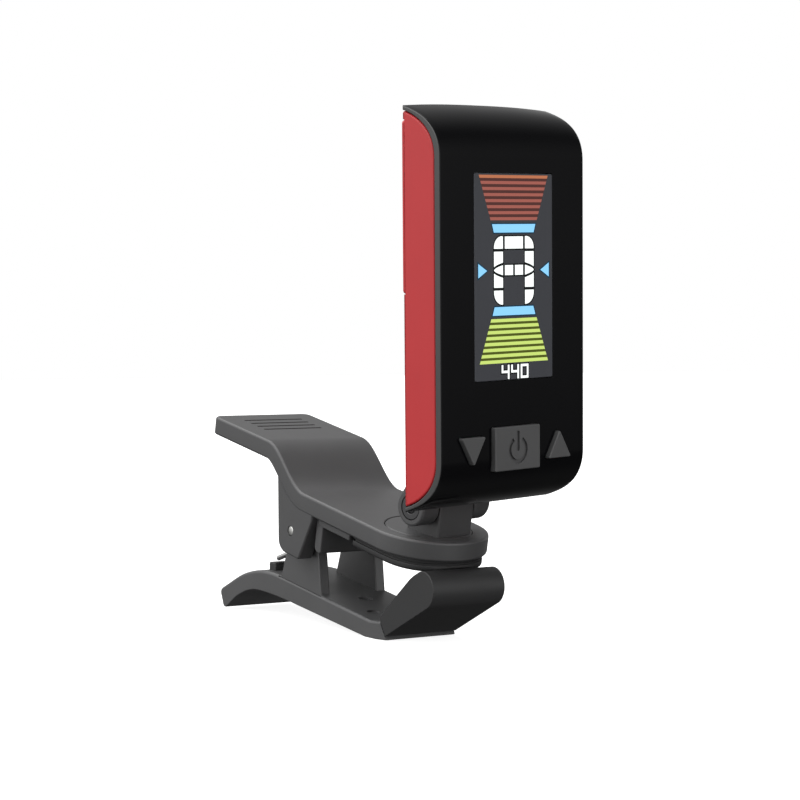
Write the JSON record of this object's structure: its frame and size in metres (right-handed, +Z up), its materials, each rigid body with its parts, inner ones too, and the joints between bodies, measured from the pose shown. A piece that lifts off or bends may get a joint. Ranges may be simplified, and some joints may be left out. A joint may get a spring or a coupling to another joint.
{
  "type": "clip-on tuner",
  "caption": "Clip-on instrument tuner: sprung clip with rubber-faced jaws, swivel and two tilt hinges carrying an upright head with a colour display, three keys and a battery door.",
  "frame": {"origin": "middle of the flat land under the front of the lower jaw, on the clip's middle plane, on the surface it stands on", "axes": "+X across the clip to the right as seen from the front, -Y to the clip's front (the display faces about -Y), +Z up"},
  "size_m": [0.0315, 0.0731, 0.0774],
  "materials": {
    "black_plastic": "satin moulded, fine grain",
    "rubber": "matt",
    "key_rubber": "matt",
    "gloss_black": "high gloss",
    "red_plastic": "satin paint",
    "steel": "bright",
    "dark_steel": "blackened",
    "brass": "bright",
    "circuit_board": "solder mask",
    "chip_black": "matt",
    "lens": "clear gloss",
    "lcd_glass": "gloss",
    "diffuser": "matt white"
  },
  "bodies": {
    "clip_base": {"lower_jaw": "black_plastic", "jaw_boot": "rubber", "spring_seat": "rubber"},
    "lever": {"upper_lever": "black_plastic", "jaw_pad": "rubber", "pivot_pin": "steel", "torsion_spring": "steel"},
    "swivel": {"swivel_base": "black_plastic", "swivel_washer": "steel", "swivel_screw": "steel"},
    "link": {"link_arm": "black_plastic", "lower_hinge_pin": "steel", "clip_left": "dark_steel", "clip_right": "dark_steel"},
    "head": {"front_cover": "gloss_black", "display_lens": "lens", "rear_cover": "red_plastic", "hinge_bracket": "black_plastic", "upper_hinge_pin": "steel", "coin_cell": "steel", "main_board": "circuit_board", "negative_contact": "steel", "positive_contact": "steel", "tuner_chip": "chip_black", "clock_crystal": "steel", "piezo_sensor": "brass", "lcd_connector": "rubber", "light_guide": "diffuser", "lcd_panel": "lcd_glass", "display_frame": "diffuser", "switch_down": "chip_black", "switch_power": "chip_black", "switch_up": "chip_black", "case_screw_1": "steel", "case_screw_2": "steel", "case_screw_3": "steel", "case_screw_4": "steel", "bracket_screw_1": "steel", "bracket_screw_2": "steel"},
    "key_down": {"button_down": "key_rubber"},
    "key_power": {"button_power": "key_rubber"},
    "key_up": {"button_up": "key_rubber"},
    "door": {"battery_door": "red_plastic"}
  },
  "joints": [
    {"name": "clip_pivot", "type": "hinge", "parent": "clip_base", "child": "lever", "pos_m": [0, 0.021, 0.01465], "axis": [-1, 0, 0], "range_deg": [0, 28], "stiffness_Nm_per_rad": 0.1, "springref_deg": -20.05, "deforming": ["torsion_spring"]},
    {"name": "head_swivel", "type": "hinge", "parent": "lever", "child": "swivel", "pos_m": [0, -0.00365, 0.01663], "axis": [0, -0.1874, 0.9823], "continuous": true},
    {"name": "lower_tilt", "type": "hinge", "parent": "swivel", "child": "link", "pos_m": [0.00047, -0.00695, 0.02028], "axis": [0.9833, 0.179, 0.0341], "range_deg": [-85, 40]},
    {"name": "upper_tilt", "type": "hinge", "parent": "link", "child": "head", "pos_m": [0.00079, -0.0113, 0.0341], "axis": [0.9833, 0.179, 0.0341], "range_deg": [-90, 14]},
    {"name": "down_press", "type": "slide", "parent": "head", "child": "key_down", "axis": [-0.1799, 0.9834, 0.0248], "range_m": [0, 0.00035], "stiffness_N_per_m": 600, "springref_m": -0.0002},
    {"name": "power_press", "type": "slide", "parent": "head", "child": "key_power", "axis": [-0.1799, 0.9834, 0.0248], "range_m": [0, 0.00035], "stiffness_N_per_m": 600, "springref_m": -0.0002},
    {"name": "up_press", "type": "slide", "parent": "head", "child": "key_up", "axis": [-0.1799, 0.9834, 0.0248], "range_m": [0, 0.00035], "stiffness_N_per_m": 600, "springref_m": -0.0002},
    {"name": "door_removal", "type": "slide", "parent": "head", "child": "door", "axis": [-0.1799, 0.9834, 0.0248], "range_m": [0, 0.012]}
  ]
}
